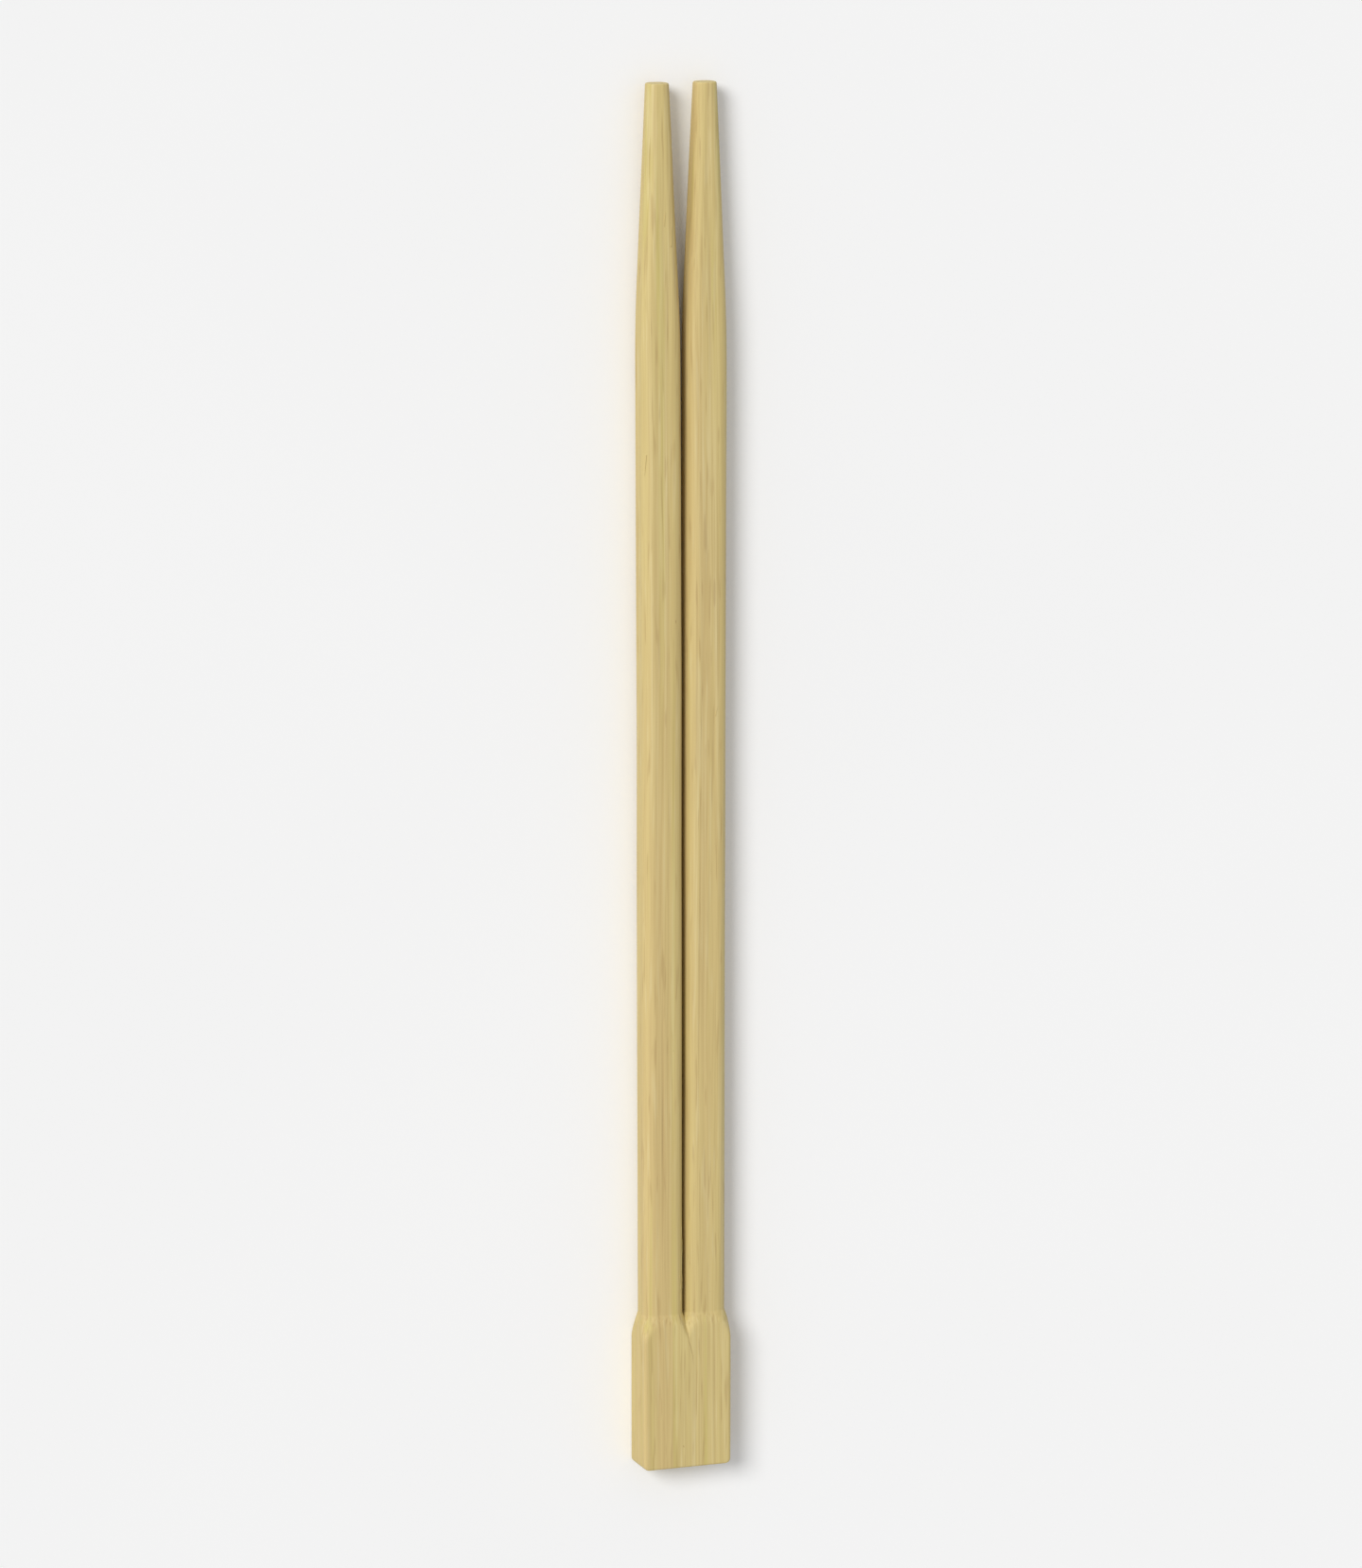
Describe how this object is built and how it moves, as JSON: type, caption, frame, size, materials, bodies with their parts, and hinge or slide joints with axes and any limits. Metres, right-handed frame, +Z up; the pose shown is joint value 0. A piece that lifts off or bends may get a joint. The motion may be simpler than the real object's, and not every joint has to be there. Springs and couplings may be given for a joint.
{
  "type": "twin chopsticks",
  "caption": "Disposable bamboo chopstick pair, cut from one slat: slim blunt tips, rounded sticks and a narrow slit, still joined at a thicker rectangular head block.",
  "frame": {"origin": "centre of the bounding box at its underside: midway along the pair, on the plane that the head block lies on", "axes": "+Y along the sticks from the head block to the tips, +X across the pair, +Z up from the surface it lies on"},
  "size_m": [0.014, 0.21, 0.0062],
  "materials": {
    "bamboo": "planed and tumbled raw bamboo, matt, with fine lengthwise fibre streaks"
  },
  "bodies": {
    "root": {"left_chopstick": "bamboo", "right_chopstick": "bamboo"}
  },
  "joints": []
}
